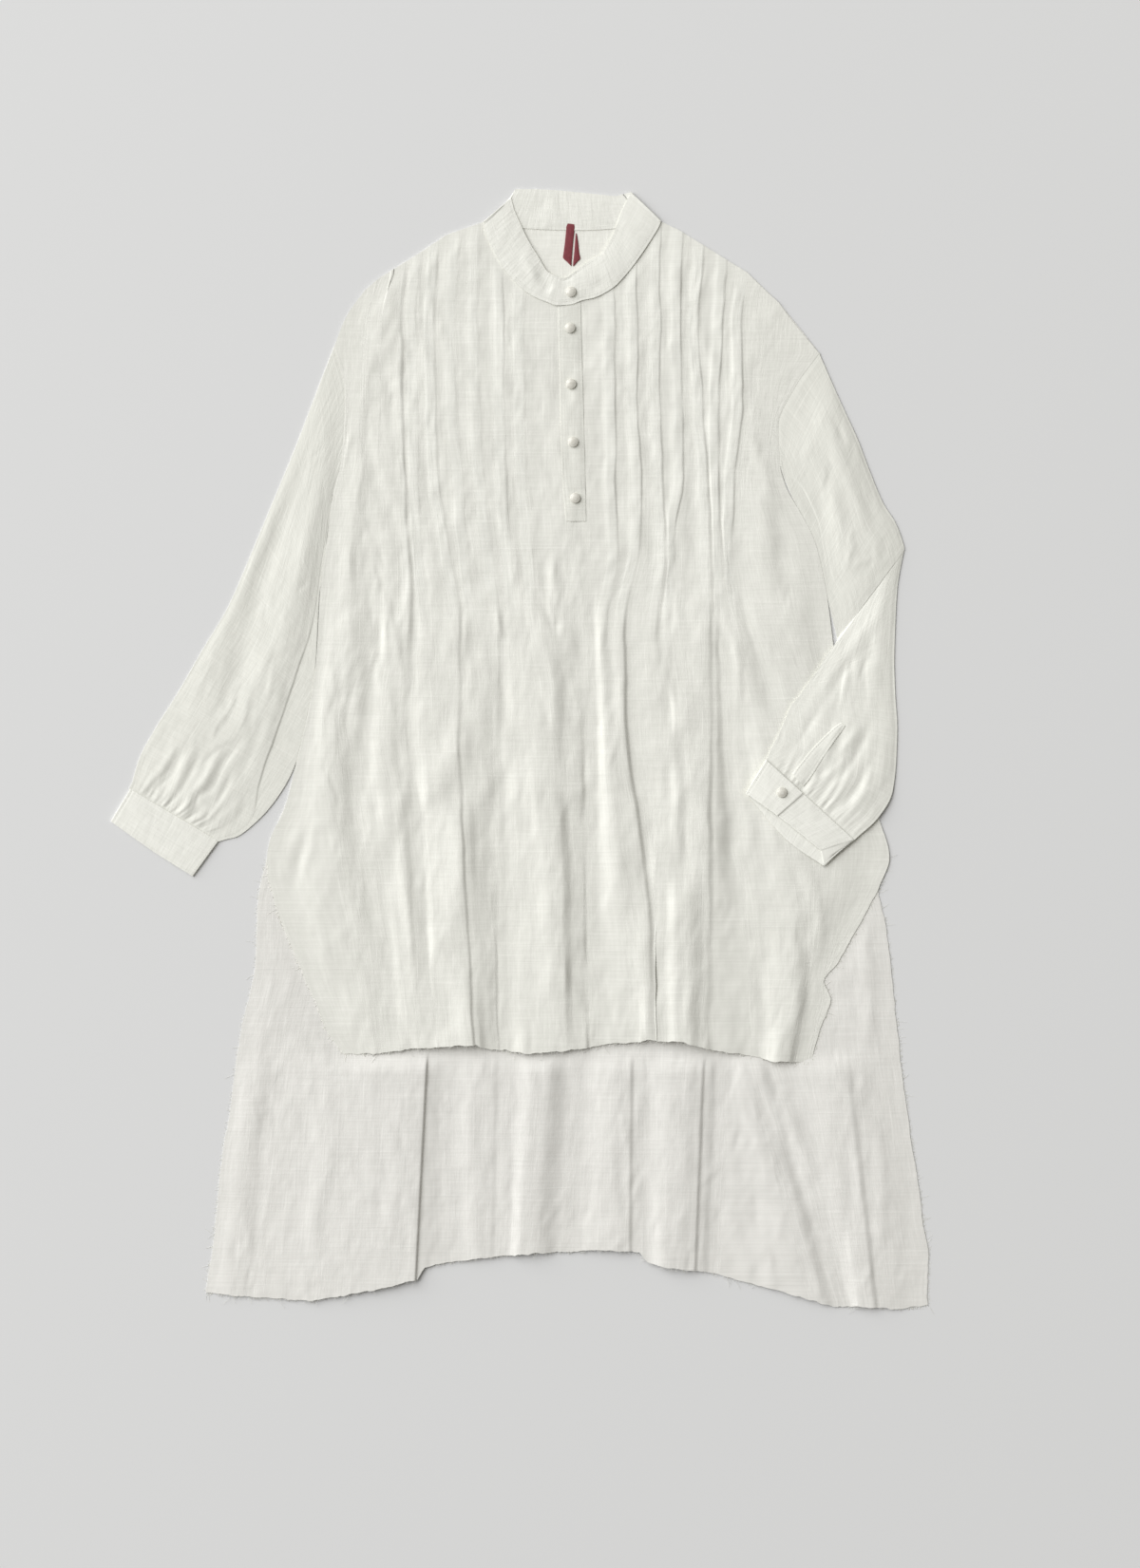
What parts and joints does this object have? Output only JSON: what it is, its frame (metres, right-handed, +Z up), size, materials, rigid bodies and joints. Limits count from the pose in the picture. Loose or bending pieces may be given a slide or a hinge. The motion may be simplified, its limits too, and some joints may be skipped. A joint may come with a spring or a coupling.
{
  "type": "popover shirt",
  "caption": "Linen popover tunic laid flat, with band collar, tucked bib, half placket, gathered sleeves into buttoned cuffs and a long back hem.",
  "frame": {"origin": "on the surface it lies on, under the middle of the laid-out garment's bounding box", "axes": "+X to the viewer's right across the shirt, +Y from hem to neck, +Z up off the surface"},
  "size_m": [0.8165, 1.1187, 0.0142],
  "materials": {
    "linen": "washed plain-weave linen, matte, off-white",
    "band_linen": "two layers of the same linen, pressed and edge-stitched",
    "button_shell": "domed, softly glossy, grey cream",
    "ribbon": "woven dark red ribbon with a pale selvedge, plain"
  },
  "bodies": {
    "root": {"back": "linen", "front": "linen", "sleeve_left": "linen", "sleeve_right": "linen", "collar": "band_linen", "placket": "band_linen", "cuff_left": "band_linen", "cuff_right": "band_linen", "sleeve_placket_right": "band_linen", "neck_loop": "ribbon", "button_1": "button_shell", "button_2": "button_shell", "button_3": "button_shell", "button_4": "button_shell", "button_5": "button_shell", "cuff_button": "button_shell"}
  },
  "joints": []
}
